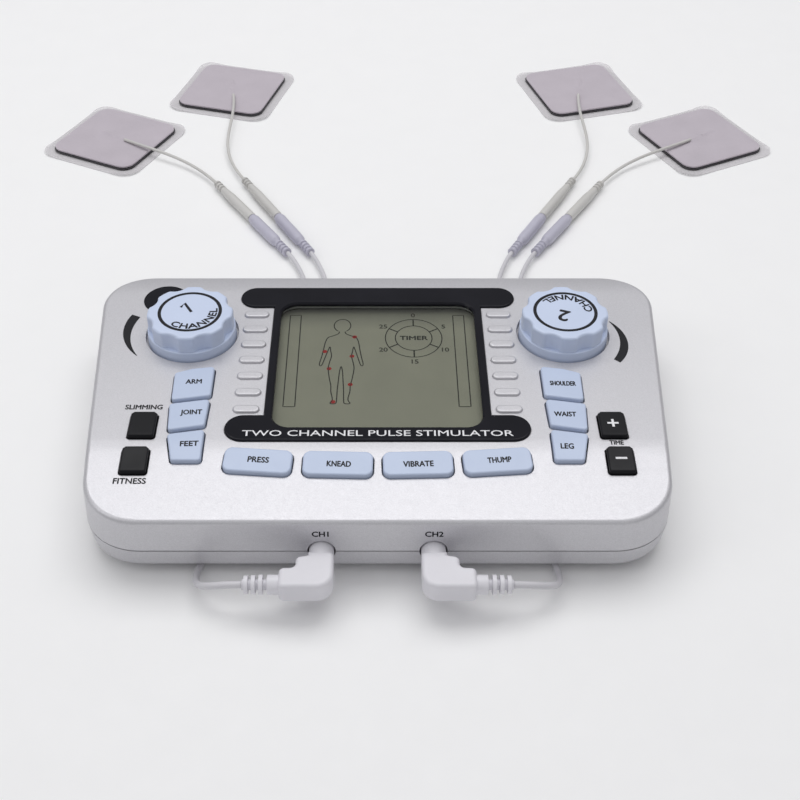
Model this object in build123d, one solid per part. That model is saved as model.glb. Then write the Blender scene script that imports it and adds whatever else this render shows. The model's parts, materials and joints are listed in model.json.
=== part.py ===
from build123d import *
import math
import os

# A two-channel TENS unit lying on a table, with two angled plugs in its front face, two leads
# that run back under the case, and four electrode pads behind it.  Millimetres, +Z up.
# Origin: on the table, below the middle of the case; +Y is the back of the case.

os.makedirs("parts", exist_ok=True)

# ---------------------------------------------------------------- driving dimensions: case
TOP_Z = 25.0                # flat middle of the top
CASE_BOTTOM_Z = 3.0
PARTING_Z = 10.5
PARTING_GAP = 0.35          # shadow line between the two shells
WALL = 2.2
BACK_Y, FRONT_Y = 60.5, -55.5
BACK_HALF, FRONT_HALF = 95.6, 85.4      # half widths where the side lines meet back and front
BACK_CORNER_R, FRONT_CORNER_R = 17.0, 18.0
CASE_DRAFT = 3.0            # degrees, upper shell
LOWER_DRAFT = 6.0           # degrees, lower shell
RIM_R = 1.5
BOTTOM_R = 2.4
BACK_CREASE_Y, BACK_SLOPE = 53.5, 8.0
FRONT_CREASE_Y, FRONT_SLOPE = -27.0, 6.0
CREASE_R = 60.0
FIT = 0.1                   # assembly clearance of fixed pieces

# ---------------------------------------------------------------- display
BAR_HALF_X = 46.5
TOP_BAR_Y = (40.9, 51.7)
LOW_BAR_Y = (-24.8, -13.4)
NECK_HALF_X = 34.9
WINDOW_HALF_X = 32.3
WINDOW_Y = (-18.6, 42.8)
WINDOW_R = 5.5
BEZEL_Z = (TOP_Z - 0.8, TOP_Z + 0.7)
PANE_Z = (TOP_Z - 2.1, TOP_Z - 0.9)
LCD_Z = (19.6, 22.2)
LCD_HALF_X = 34.0
LCD_Y = (-21.0, 45.0)

# ---------------------------------------------------------------- ribs beside the display
RIB_X = (36.4, 44.7)
RIB_WIDTH = 3.3
RIB_HEIGHT = 0.8
RIB_FIRST_Y, RIB_PITCH, RIB_COUNT = 37.0, 7.92, 7

# ---------------------------------------------------------------- knobs and potentiometers
KNOB_X, KNOB_Y = 61.2, 27.3
KNOB_R = 14.0
KNOB_SKIRT_R = 14.6
KNOB_Z = (23.6, 34.0)
KNOB_LEDGE_Z = 28.0
KNOB_LOBES = 8
FLUTE_R, FLUTE_DEPTH = 5.0, 1.25
WELL_R, WELL_DEPTH = 15.3, 2.0
SHAFT_R = 3.0
RUNNING_FIT = 0.05
POT_R = 8.5
POT_Z = (8.8, 15.8)
INDICATOR_X, INDICATOR_Y, INDICATOR_R = -72.0, 45.5, 7.6

# ---------------------------------------------------------------- keys
KEY_STAND = 1.5             # key tops above the case surface
KEY_GAP = 0.4               # clearance round a key in its opening
KEY_TRAVEL = 0.5
TAB_Z = (20.2, 21.0)        # retaining tabs under the skin
TAB_REACH = 1.0
KEY_POST_Z = 20.6
KEY_POST_R = 1.8
KEY_EDGE_R = 0.6
SIDE_KEY_R = 1.1
MODE_KEY_DEPTH, MODE_KEY_R = 9.0, 2.4
SMALL_KEY_CUT, SMALL_KEY_R = 0.9, 0.8
# Corners of the three keys of the right-hand block, (x, y); the left-hand block mirrors them.
UPPER_KEY = [(51.9, -5.3), (63.9, -7.5), (64.3, 5.5), (59.0, 7.6), (51.9, 8.7)]
MIDDLE_KEY = [(52.4, -18.9), (63.4, -21.1), (64.2, -9.1), (52.0, -6.9)]
LOWER_KEY = [(52.2, -33.4), (61.1, -33.4), (63.3, -22.7), (52.2, -20.7)]
BACK_SMALL_KEY_X, BACK_SMALL_KEY_Y = (67.3, 75.3), (-23.5, -12.7)
FRONT_SMALL_KEY_X, FRONT_SMALL_KEY_Y = (67.9, 75.8), (-37.6, -27.8)

# ---------------------------------------------------------------- inside
BOARD_Z = (15.9, 17.5)
BOARD_HALF_X = 77.0
BOARD_Y = (-43.0, 50.0)
CELL_R, CELL_LENGTH, CELL_PITCH, CELL_COUNT = 5.2, 44.2, 10.8, 4
CELL_Z = 9.95
BAY_HALF_X, BAY_HALF_Y = 25.5, 22.2
BAY_WALL = 1.2
DOOR_Z = (CASE_BOTTOM_Z, 4.5)
DOOR_TRAVEL = 6.0
SCREW_SPOTS = [(82.0, 36.0), (50.0, -47.5)]       # mirrored to the other side
BOARD_POST_SPOTS = [(70.0, -20.0), (40.0, 44.0)]  # mirrored to the other side
FOOT_SPOTS = [(72.0, 42.0), (68.0, -40.0)]        # mirrored to the other side

# ---------------------------------------------------------------- plugs and leads
JACK_X = 16.2
JACK_Z = PARTING_Z
JACK_Y = (-51.8, -41.0)
PORT_R = 4.1
PLUG_R = 3.6
PIN_R = 1.25
PIN_END_Y = -42.6
NOSE_Y = -54.2
CABLE_R = 1.05
BRANCH_R = 0.85
CABLE_Z = 1.25
LEAD_MID_X = 13.1           # the two pairs of pads are spread evenly about this line
CONNECTOR_R = 2.3
SOCKET_R = 2.0
TIP_PIN_R, TIP_PIN_LENGTH = 1.0, 12.0

# ---------------------------------------------------------------- pads
PAD_SIDE, PAD_R = 40.0, 5.0
LINER_SIDE, LINER_R = 48.0, 7.0
LINER_Z = (0.0, 0.25)
GEL_Z = (0.3, 1.3)
FABRIC_Z = (1.35, 2.15)


# ================================================================= helpers
def rounded_rect(x_range, y_range, radius):
    """Face of a rounded rectangle between two x and two y values."""
    width = x_range[1] - x_range[0]
    depth = y_range[1] - y_range[0]
    middle = ((x_range[0] + x_range[1]) / 2, (y_range[0] + y_range[1]) / 2)
    return Pos(*middle) * RectangleRounded(width, depth, radius)


def slab(face, z_range):
    """Extrude a flat face between two heights."""
    return extrude(Pos(0, 0, z_range[0]) * face, z_range[1] - z_range[0])


def block(x_range, y_range, z_range):
    """Plain box between three pairs of limits."""
    face = Rectangle(x_range[1] - x_range[0], y_range[1] - y_range[0])
    middle = ((x_range[0] + x_range[1]) / 2, (y_range[0] + y_range[1]) / 2)
    return slab(Pos(*middle) * face, z_range)


def post(x, y, radius, z_range):
    """Upright round post."""
    return slab(Pos(x, y) * Circle(radius), z_range)


def outline_face(points, radii):
    """Closed outline with every corner rounded to its own radius (0 leaves it sharp)."""
    face = make_face(Polyline(*points, close=True))
    for (x, y), radius in zip(points, radii):
        if radius > 0:
            corner = min(face.vertices(), key=lambda v: (v.X - x) ** 2 + (v.Y - y) ** 2)
            face = fillet(corner, radius)
    return face


def mirrored(spots):
    """The given (x, y) spots and their twins on the other side."""
    return [(side * x, y) for x, y in spots for side in (-1, 1)]


def save(name, shape):
    export_step(shape, f"parts/{name}.step")


def save_group(name, solids):
    export_step(Compound(children=list(solids)), f"parts/{name}.step")


# ================================================================= case
def case_outline():
    corners = [(-BACK_HALF, BACK_Y), (-FRONT_HALF, FRONT_Y), (FRONT_HALF, FRONT_Y), (BACK_HALF, BACK_Y)]
    radii = [BACK_CORNER_R, FRONT_CORNER_R, FRONT_CORNER_R, BACK_CORNER_R]
    return outline_face(corners, radii)


def under_surface(lift=0.0):
    """Everything below the top surface, which is flat with a sloping strip at front and back."""
    front, back = FRONT_Y - 10, BACK_Y + 10
    level = TOP_Z + lift
    back_drop = (back - BACK_CREASE_Y) * math.tan(math.radians(BACK_SLOPE))
    front_drop = (FRONT_CREASE_Y - front) * math.tan(math.radians(FRONT_SLOPE))
    points = [(front, -5), (back, -5), (back, level - back_drop), (BACK_CREASE_Y, level),
              (FRONT_CREASE_Y, level), (front, level - front_drop)]
    side = outline_face(points, [0, 0, 0, CREASE_R, CREASE_R, 0])
    return extrude(Plane.YZ * side, 120, both=True)


def port_holes():
    """Round openings for the plugs, half in each shell."""
    holes = []
    for x in (-JACK_X, JACK_X):
        axis = Plane(origin=(x, FRONT_Y - 2, JACK_Z), z_dir=(0, 1, 0))
        holes.append(extrude(axis * Circle(PORT_R), JACK_Y[0] - FRONT_Y + 2.1))
    return holes


def bezel_outline(clearance=0.0):
    """I-shaped plate: two bars with round ends and a narrower neck between them."""
    top = (TOP_BAR_Y[0] - clearance, TOP_BAR_Y[1] + clearance)
    low = (LOW_BAR_Y[0] - clearance, LOW_BAR_Y[1] + clearance)
    half = BAR_HALF_X + clearance
    shape = rounded_rect((-half, half), top, (top[1] - top[0]) / 2 - 0.01)
    shape += rounded_rect((-half, half), low, (low[1] - low[0]) / 2 - 0.01)
    neck = NECK_HALF_X + clearance
    shape += Pos(0, (low[0] + top[1]) / 2) * Rectangle(2 * neck, top[1] - low[0] - 4)
    return shape


def window_outline(growth=0.0):
    return rounded_rect((-WINDOW_HALF_X - growth, WINDOW_HALF_X + growth),
                        (WINDOW_Y[0] - growth, WINDOW_Y[1] + growth), WINDOW_R + growth)


def indicator_outline(clearance=0.0):
    """Round inlay with a bite taken out by the well of knob 1."""
    disc = Pos(INDICATOR_X, INDICATOR_Y) * Circle(INDICATOR_R + clearance)
    return disc - Pos(-KNOB_X, KNOB_Y) * Circle(WELL_R + 0.9 - clearance)


def ribs():
    half_length = (RIB_X[1] - RIB_X[0]) / 2
    middle = (RIB_X[0] + RIB_X[1]) / 2
    solids = []
    for index in range(RIB_COUNT):
        y = RIB_FIRST_Y - index * RIB_PITCH
        for side in (-1, 1):
            bar = Pos(side * middle, y) * SlotOverall(2 * half_length, RIB_WIDTH)
            rib = slab(bar, (TOP_Z - 0.5, TOP_Z + RIB_HEIGHT))
            solids.append(fillet(rib.edges().group_by(Axis.Z)[-1], 0.6))
    return solids


def upper_case():
    shell = extrude(Pos(0, 0, PARTING_Z + PARTING_GAP / 2) * case_outline(), TOP_Z, taper=CASE_DRAFT)
    shell = shell & under_surface()
    rim = [e for e in shell.edges() if e.center().Z > PARTING_Z + 5]
    shell = fillet(rim, RIM_R)
    hollow = extrude(Pos(0, 0, PARTING_Z - 1) * offset(case_outline(), -WALL), TOP_Z, taper=CASE_DRAFT)
    shell -= hollow & under_surface(-WALL)
    for x, y in mirrored([(KNOB_X, KNOB_Y)]):
        shell += post(x, y, WELL_R + 1.6, (21.0, TOP_Z - 0.5))
        shell -= post(x, y, WELL_R, (TOP_Z - WELL_DEPTH, TOP_Z + 1))
        shell -= post(x, y, SHAFT_R + 1.2, (19, TOP_Z))
    shell -= slab(bezel_outline(FIT), (BEZEL_Z[0], TOP_Z + 1))
    shell -= slab(window_outline(0.8), (19, TOP_Z))
    shell -= slab(indicator_outline(FIT), (TOP_Z - 1.0, TOP_Z + 1))
    for x, y in mirrored(SCREW_SPOTS):
        shell += post(x, y, 3.0, (13.0, 22.9 if y > 0 else 21.2))
        shell -= post(x, y, 1.1, (12.0, 20.0))
    for outline in KEY_OUTLINES.values():
        shell -= slab(offset(outline, KEY_GAP), (17, TOP_Z + 1))
    for hole in port_holes():
        shell -= hole
    for rib in ribs():
        shell += rib
    return shell


def lower_case():
    depth = PARTING_Z - PARTING_GAP / 2 - CASE_BOTTOM_Z
    tub = extrude(Pos(0, 0, PARTING_Z - PARTING_GAP / 2) * case_outline(), -depth, taper=LOWER_DRAFT)
    tub = fillet(tub.edges().group_by(Axis.Z)[0], BOTTOM_R)
    inner = offset(case_outline(), -WALL - 0.6)
    tub -= slab(inner, (CASE_BOTTOM_Z + WALL, PARTING_Z + 5))
    tongue = offset(case_outline(), -WALL - 0.15)
    lip = slab(tongue - offset(case_outline(), -WALL - 1.3), (PARTING_Z - 3.0, PARTING_Z + 1.5))
    tub += lip
    outer_bay = block((-BAY_HALF_X - BAY_WALL, BAY_HALF_X + BAY_WALL),
                      (-BAY_HALF_Y - BAY_WALL, BAY_HALF_Y + BAY_WALL), (CASE_BOTTOM_Z + 0.5, 15.4))
    tub += outer_bay
    slide_end = BAY_HALF_Y + DOOR_TRAVEL + 1.0
    tub += block((-BAY_HALF_X - BAY_WALL, BAY_HALF_X + BAY_WALL), (BAY_HALF_Y, slide_end + 1.2),
                 (CASE_BOTTOM_Z + 1.0, 6.2))
    tub -= block((-BAY_HALF_X, BAY_HALF_X), (-BAY_HALF_Y, BAY_HALF_Y), (CASE_BOTTOM_Z - 1, 16))
    tub -= block((-BAY_HALF_X, BAY_HALF_X), (-BAY_HALF_Y, slide_end), (CASE_BOTTOM_Z - 1, DOOR_Z[1] + 0.1))
    for x, y in mirrored(SCREW_SPOTS):
        tub += post(x, y, 3.4, (CASE_BOTTOM_Z + 1.0, 12.6))
        tub -= post(x, y, 1.5, (CASE_BOTTOM_Z - 1, 13))
        tub -= post(x, y, 2.8, (CASE_BOTTOM_Z - 1, 7.0))
    for x, y in mirrored(BOARD_POST_SPOTS):
        tub += post(x, y, 2.4, (CASE_BOTTOM_Z + 1.0, BOARD_Z[0] - 0.05))
    for hole in port_holes():
        tub -= hole
    for x in (-JACK_X, JACK_X):
        tub += block((x - 4.6, x + 4.6), JACK_Y, (CASE_BOTTOM_Z + 1.0, JACK_Z - 3.65))
    return tub


def battery_door():
    plate = block((-BAY_HALF_X + 0.2, BAY_HALF_X - 0.2), (-BAY_HALF_Y + 0.2, BAY_HALF_Y - 0.2), DOOR_Z)
    for index in range(4):
        y = 12.0 + index * 2.0
        plate -= block((-7, 7), (y, y + 0.8), (DOOR_Z[0] - 0.1, DOOR_Z[0] + 0.4))
    return plate


# ================================================================= display
def display_bezel():
    plate = slab(bezel_outline(), BEZEL_Z)
    plate = fillet(plate.edges().group_by(Axis.Z)[-1], 0.5)
    hole = slab(window_outline(), (BEZEL_Z[0] - 1, BEZEL_Z[1] + 1))
    plate -= hole
    mouth = [e for e in plate.edges().group_by(Axis.Z)[-1]
             if abs(e.center().X) <= WINDOW_HALF_X + 0.1 and WINDOW_Y[0] - 0.1 <= e.center().Y <= WINDOW_Y[1] + 0.1]
    return chamfer(mouth, 0.6)


def display_window():
    return slab(window_outline(0.6), PANE_Z)


def lcd_panel():
    return block((-LCD_HALF_X, LCD_HALF_X), LCD_Y, LCD_Z)


def lcd_holder():
    outer = rounded_rect((-LCD_HALF_X - 2.2, LCD_HALF_X + 2.2), (LCD_Y[0] - 2.2, LCD_Y[1] + 2.2), 2.0)
    pocket = rounded_rect((-LCD_HALF_X - FIT, LCD_HALF_X + FIT), (LCD_Y[0] - FIT, LCD_Y[1] + FIT), 0.3)
    throat = rounded_rect((-LCD_HALF_X + 2.5, LCD_HALF_X - 2.5), (LCD_Y[0] + 2.5, LCD_Y[1] - 2.5), 1.0)
    frame = slab(outer, (BOARD_Z[1] + 0.05, LCD_Z[1]))
    frame -= slab(pocket, (LCD_Z[0] - 0.05, LCD_Z[1] + 1))
    return frame - slab(throat, (BOARD_Z[1] - 1, LCD_Z[1]))


def indicator_window():
    return slab(indicator_outline(), (TOP_Z - 0.95, TOP_Z + 0.1))


# ================================================================= knobs
def knob(x):
    """Eight-lobed knob on a round skirt, hollow underneath with a hub on the shaft."""
    centre = Pos(x, KNOB_Y)
    skirt = extrude(Pos(x, KNOB_Y, KNOB_Z[0]) * Circle(KNOB_SKIRT_R), KNOB_LEDGE_Z - KNOB_Z[0], taper=2.5)
    skirt = fillet(skirt.edges().group_by(Axis.Z)[-1], 0.4)
    lobed = Circle(KNOB_R)
    flute_centre = KNOB_R - FLUTE_DEPTH + FLUTE_R
    for index in range(KNOB_LOBES):
        angle = math.radians((index + 0.5) * 360 / KNOB_LOBES)
        lobed -= Pos(flute_centre * math.cos(angle), flute_centre * math.sin(angle)) * Circle(FLUTE_R)
    lobed = fillet(lobed.vertices(), 1.6)
    crown = slab(centre * lobed, (KNOB_LEDGE_Z - 0.6, KNOB_Z[1]))
    crown = fillet(crown.edges().group_by(Axis.Z)[-1], 0.9)
    body = skirt + crown
    body -= post(x, KNOB_Y, KNOB_R - 2.9, (KNOB_Z[0] - 1, KNOB_Z[1] - 2.0))
    body += post(x, KNOB_Y, SHAFT_R + 1.8, (KNOB_Z[0] + 0.8, KNOB_Z[1] - 1.5))
    return body - post(x, KNOB_Y, SHAFT_R + 0.02, (KNOB_Z[0] - 1, KNOB_Z[1] - 2.4))


def potentiometer(x):
    body = post(x, KNOB_Y, POT_R, POT_Z)
    body += block((x - 5.5, x + 5.5), (KNOB_Y - POT_R - 2.0, KNOB_Y), (POT_Z[0], POT_Z[0] + 1.6))
    return body - post(x, KNOB_Y, SHAFT_R + RUNNING_FIT, (POT_Z[0] + 1.6, POT_Z[1] + 1))


def pot_shaft(x):
    return post(x, KNOB_Y, SHAFT_R, (POT_Z[0] + 1.7, KNOB_Z[1] - 2.5))


# ================================================================= keys
def side_key(side, corners):
    """Outline of one key of the side blocks; the corners are given for the right-hand block."""
    points = [(side * x, y) for x, y in corners]
    return outline_face(points, [SIDE_KEY_R] * len(points))


def mode_key(middle, width, tilt):
    """Outline of one key of the front row, turned by tilt degrees."""
    return Pos(*middle) * Rot(0, 0, tilt) * RectangleRounded(width, MODE_KEY_DEPTH, MODE_KEY_R)


def small_key(side, x_range, y_range):
    """Black key with its two back corners cut off."""
    (x_in, x_out), (low, high) = x_range, y_range
    cut = SMALL_KEY_CUT
    points = [(side * x_in, low), (side * x_out, low), (side * x_out, high - cut),
              (side * (x_out - cut), high), (side * (x_in + cut), high), (side * x_in, high - cut)]
    return outline_face(points, [SMALL_KEY_R, SMALL_KEY_R, 0, 0, 0, 0])


KEY_OUTLINES = {
    "key_arm": side_key(-1, UPPER_KEY),
    "key_joint": side_key(-1, MIDDLE_KEY),
    "key_feet": side_key(-1, LOWER_KEY),
    "key_shoulder": side_key(1, UPPER_KEY),
    "key_waist": side_key(1, MIDDLE_KEY),
    "key_leg": side_key(1, LOWER_KEY),
    "key_press": mode_key((-35.35, -33.3), 20.3, -4.4),
    "key_knead": mode_key((-11.7, -34.3), 20.7, -1.5),
    "key_vibrate": mode_key((11.9, -34.3), 20.7, 1.5),
    "key_thump": mode_key((35.35, -33.3), 20.3, 4.4),
    "key_slimming": small_key(-1, BACK_SMALL_KEY_X, BACK_SMALL_KEY_Y),
    "key_fitness": small_key(-1, FRONT_SMALL_KEY_X, FRONT_SMALL_KEY_Y),
    "key_plus": small_key(1, BACK_SMALL_KEY_X, BACK_SMALL_KEY_Y),
    "key_minus": small_key(1, FRONT_SMALL_KEY_X, FRONT_SMALL_KEY_Y),
}


def key_cap(outline):
    """Key that follows the case surface, with a tab each side and a post onto its switch."""
    cap = slab(outline, (TAB_Z[0], TOP_Z + 5)) & under_surface(KEY_STAND)
    top_edges = [e for e in cap.edges() if e.center().Z > TOP_Z - 2 and abs(e.tangent_at(0.5).Z) < 0.3]
    cap = fillet(top_edges, KEY_EDGE_R)
    box = cap.bounding_box()
    y = (box.min.Y + box.max.Y) / 2
    cap += block((box.min.X - TAB_REACH, box.max.X + TAB_REACH), (y - 2, y + 2), TAB_Z)
    centre = box.center()
    cap -= post(centre.X, centre.Y, KEY_POST_R + 1.2, (TAB_Z[0] - 1, KEY_POST_Z))
    return cap


def tact_switches():
    """One square switch with a round stem under the middle of each key."""
    solids = []
    for outline in KEY_OUTLINES.values():
        centre = outline.bounding_box().center()
        body = block((centre.X - 3, centre.X + 3), (centre.Y - 3, centre.Y + 3),
                     (BOARD_Z[1] + 0.05, BOARD_Z[1] + 1.9))
        solids.append(body + post(centre.X, centre.Y, 1.7, (BOARD_Z[1] + 1.0, KEY_POST_Z - KEY_TRAVEL - 0.1)))
    return solids


# ================================================================= inside
def main_board():
    board = slab(rounded_rect((-BOARD_HALF_X, BOARD_HALF_X), BOARD_Y, 3.0), BOARD_Z)
    for x, y in mirrored([(KNOB_X, KNOB_Y)]):
        board -= post(x, y, SHAFT_R + 1.2, (BOARD_Z[0] - 1, BOARD_Z[1] + 1))
    return board


def pulse_transformers():
    return [block((x - 7, x + 7), (-16, -4), (7.0, BOARD_Z[0] - 0.05)) for x in (-42, 42)]


def buzzer():
    return post(0, 38, 6.0, (10.8, BOARD_Z[0] - 0.05)) - post(0, 38, 1.0, (10, 12))


def aaa_cells():
    solids = []
    for index in range(CELL_COUNT):
        y = (index - (CELL_COUNT - 1) / 2) * CELL_PITCH
        turn = 1 if index % 2 else -1
        base = Plane(origin=(-turn * CELL_LENGTH / 2, y, CELL_Z), z_dir=(turn, 0, 0))
        can = extrude(base * Circle(CELL_R), CELL_LENGTH - 1.0)
        tip = extrude(base * Circle(1.9), CELL_LENGTH)
        solids.append(fillet(can.edges().group_by(Axis.X)[0 if turn > 0 else -1], 0.6) + tip)
    return solids


def battery_contacts():
    """Leaf contacts at both ends of the cells, each joining two cells."""
    solids = []
    for side in (-1, 1):
        for index in range(CELL_COUNT // 2):
            y = (2 * index - (CELL_COUNT - 2) / 2) * CELL_PITCH
            near, far = CELL_LENGTH / 2 + 0.1, BAY_HALF_X - 0.1
            leaf = block(sorted((side * (far - 0.5), side * far)), (y - 9, y + 9), (5.5, 14.4))
            for spring_y in (y - CELL_PITCH / 2, y + CELL_PITCH / 2):
                stem = Plane(origin=(side * (far - 0.3), spring_y, CELL_Z), z_dir=(-side, 0, 0))
                leaf += extrude(stem * Circle(2.2), far - 0.3 - near)
            solids.append(leaf)
    return solids


def output_jack(x):
    body = block((x - 4.5, x + 4.5), JACK_Y, (JACK_Z - 3.6, JACK_Z + 3.6))
    axis = Plane(origin=(x, JACK_Y[0] - 1, JACK_Z), z_dir=(0, 1, 0))
    return body - extrude(axis * Circle(PIN_R + RUNNING_FIT), PIN_END_Y - JACK_Y[0] + 1.5)


def case_screw(x, y):
    head = post(x, y, 2.5, (5.0, 6.95))
    shank = post(x, y, 1.05, (6.5, 18.0))
    slot = block((x - 1.8, x + 1.8), (y - 0.3, y + 0.3), (4.5, 5.8))
    return head + shank - slot - block((x - 0.3, x + 0.3), (y - 1.8, y + 1.8), (4.5, 5.8))


def rubber_foot(x, y):
    foot = post(x, y, 5.0, (0, CASE_BOTTOM_Z))
    return chamfer(foot.edges().group_by(Axis.Z)[0], 0.5)


# ================================================================= plugs and leads
def plug_body(side):
    """Right-angle overmould: round nose, stepped shoulder, arm, neck and strain-relief rings."""
    outer, step, arm_end = 3.7, 7.1, 11.7
    elbow = [(outer, -58.4), (outer, -71.6), (-arm_end, -71.6), (-arm_end, -64.4),
             (-step, -64.2), (-step, -60.4), (-outer, -59.6), (-outer, -58.4)]
    radii = [1.5, 5.0, 1.5, 1.5, 1.6, 1.5, 0, 0]
    face = Pos(side * JACK_X, 0) * outline_face([(-side * x, y) for x, y in elbow], radii)
    body = slab(face, (JACK_Z - PLUG_R, JACK_Z + PLUG_R))
    rims = [e for e in body.edges() if abs(abs(e.center().Z - JACK_Z) - PLUG_R) < 0.01]
    body = fillet(rims, 1.2)
    nose = Plane(origin=(side * JACK_X, -66, JACK_Z), z_dir=(0, 1, 0))
    body += extrude(nose * Circle(PLUG_R), NOSE_Y + 66)
    start = side * (JACK_X + arm_end - 1)
    axis = Plane(origin=(start, -68.0, JACK_Z), z_dir=(side, 0, 0))
    body += extrude(axis * Circle(2.8), 4.2)
    body += extrude(axis * Circle(1.5), 11.4)
    for index in range(3):
        ring = Plane(origin=(start + side * (5.4 + 2.1 * index), -68.0, JACK_Z), z_dir=(side, 0, 0))
        body += extrude(ring * Circle(2.8 - 0.1 * index), 1.2)
    return body


def arm_direction(a, b):
    length = math.dist(a, b)
    return tuple((q - p) / length for p, q in zip(a, b))


# Left pair of pads: connector start (lead end), meeting point, socket end and pad centre and turn.
PAIR = {
    "a": {"start": (-35.0, 105.7), "end": (-67.9, 156.8), "pad": (-116.0, 195.0), "turn": -26.0},
    "b": {"start": (-26.0, 105.7), "end": (-56.5, 159.7), "pad": (-68.0, 240.0), "turn": -16.0},
}
CONNECTOR_LENGTH = 28.5


def place(side, point):
    """Left-pair point, or its twin in the right pair."""
    x = point[0] if side < 0 else 2 * LEAD_MID_X - point[0]
    return (x, point[1])


def tube(radius, *curves):
    """Round cable swept along curves that follow on from each other."""
    path = Wire(curves) if len(curves) > 1 else curves[0]
    section = Plane(origin=path @ 0, z_dir=path % 0) * Circle(radius)
    return sweep(section, path=path)


def lead_cable(side):
    """Cable from the plug, down to the table, back under the case and split in two."""
    out = side * (JACK_X + 22.2)
    split = place(side, (-20.0, 15.0))
    knee = (side * 52.0, -50.0, CABLE_Z)
    drop = Bezier((out, -68.0, JACK_Z), (side * 51.0, -68.0, JACK_Z), (side * 55.0, -64.0, CABLE_Z), knee)
    toward = (knee[0] - side * 2.6, knee[1] + 12.2, CABLE_Z)
    run = Bezier(knee, toward, (split[0], split[1] - 24, CABLE_Z), (split[0], split[1], CABLE_Z))
    cable = tube(CABLE_R, drop, run)
    for name in PAIR:
        start, end = place(side, PAIR[name]["start"]), place(side, PAIR[name]["end"])
        along = arm_direction(start, end)
        lean = 3.0 if name == "a" else -3.0
        branch = Bezier((split[0], split[1] - 1.0, CABLE_Z), (split[0] + side * lean, split[1] + 26, CABLE_Z),
                        (start[0] - 26 * along[0], start[1] - 26 * along[1], CABLE_Z),
                        (start[0], start[1], CONNECTOR_R + 0.1))
        cable += tube(BRANCH_R, branch)
    return cable


def turned_profile(start, along, height, rings):
    """Round part along a horizontal line: rings are (distance, radius) pairs, joined smoothly."""
    points = [(0, 0)] + [(radius, distance) for distance, radius in rings] + [(0, rings[-1][0])]
    face = make_face(Polyline(*points, close=True))
    turned = revolve(Plane.XZ * face, Axis.Z)
    spot = Plane(origin=(start[0], start[1], height), z_dir=(along[0], along[1], 0))
    return spot * turned


def lead_connector(side, name):
    """Pin holder at the end of a lead: ribbed boot, then a round grip."""
    start, end = place(side, PAIR[name]["start"]), place(side, PAIR[name]["end"])
    along = arm_direction(start, end)
    rings = [(0, 1.3)]
    for index in range(4):
        rings += [(0.2 + 2 * index, 1.8), (1.0 + 2 * index, 1.8), (1.2 + 2 * index, 1.35), (2.0 + 2 * index, 1.35)]
    rings += [(9.4, 2.1), (11, CONNECTOR_R), (26.6, CONNECTOR_R), (CONNECTOR_LENGTH, 1.9)]
    body = turned_profile(start, along, CONNECTOR_R + 0.1, rings)
    hole = turned_profile(start, along, CONNECTOR_R + 0.1,
                          [(-1, BRANCH_R + 0.02), (6.0, BRANCH_R + 0.02)])
    return body - hole


def connector_pin(side, name):
    start, end = place(side, PAIR[name]["start"]), place(side, PAIR[name]["end"])
    along = arm_direction(start, end)
    foot = CONNECTOR_LENGTH + 0.02
    return turned_profile([p + foot * d for p, d in zip(start, along)], along, CONNECTOR_R + 0.1,
                          [(0, TIP_PIN_R), (TIP_PIN_LENGTH - 1, TIP_PIN_R), (TIP_PIN_LENGTH, 0.5)])


def plug_pin(side):
    axis = Plane(origin=(side * JACK_X, NOSE_Y + 0.02, JACK_Z), z_dir=(0, 1, 0))
    pin = extrude(axis * Circle(PIN_R), PIN_END_Y - NOSE_Y)
    return chamfer(pin.edges().group_by(Axis.Y)[-1], 0.6)


def pad_lead(side, name):
    """Socket for the pin, and the thin wire from it into the pad."""
    spot = PAIR[name]
    start, end = place(side, spot["start"]), place(side, spot["end"])
    pad = place(side, spot["pad"])
    along = arm_direction(start, end)
    height = CONNECTOR_R + 0.1
    length = math.dist(start, end) - CONNECTOR_LENGTH - 0.3
    mouth = [p + (CONNECTOR_LENGTH + 0.3) * d for p, d in zip(start, along)]
    tail = length - 8.6
    rings = [(0, 1.9), (0.6, SOCKET_R), (tail - 6, SOCKET_R), (tail, 1.6)]
    for index in range(4):
        rings += [(tail + 0.2 + 2 * index, 1.6), (tail + 1.0 + 2 * index, 1.6),
                  (tail + 1.2 + 2 * index, 1.1), (tail + 2.0 + 2 * index, 1.1)]
    socket = turned_profile(mouth, along, height, rings)
    bore = [(-1, TIP_PIN_R + RUNNING_FIT), (TIP_PIN_LENGTH + 0.6, TIP_PIN_R + RUNNING_FIT)]
    socket -= turned_profile(mouth, along, height, bore)
    entry = (pad[0] + (end[0] - pad[0]) * 0.10, pad[1] + (end[1] - pad[1]) * 0.10, FABRIC_Z[1] + 0.75)
    reach = math.dist(end, pad)
    wire = Bezier((end[0] - 1.5 * along[0], end[1] - 1.5 * along[1], height),
                  (end[0] + 0.4 * reach * along[0], end[1] + 0.4 * reach * along[1], 1.4),
                  (pad[0] + (end[0] - pad[0]) * 0.5, pad[1] + (end[1] - pad[1]) * 0.5, FABRIC_Z[1] + 3.0), entry)
    return socket + tube(0.65, wire)


def pad_layer(side, name, size, radius, z_range):
    spot = PAIR[name]
    x, y = place(side, spot["pad"])
    turn = spot["turn"] if side < 0 else -spot["turn"]
    return slab(Pos(x, y) * Rot(0, 0, turn) * RectangleRounded(size, size, radius), z_range)


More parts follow.
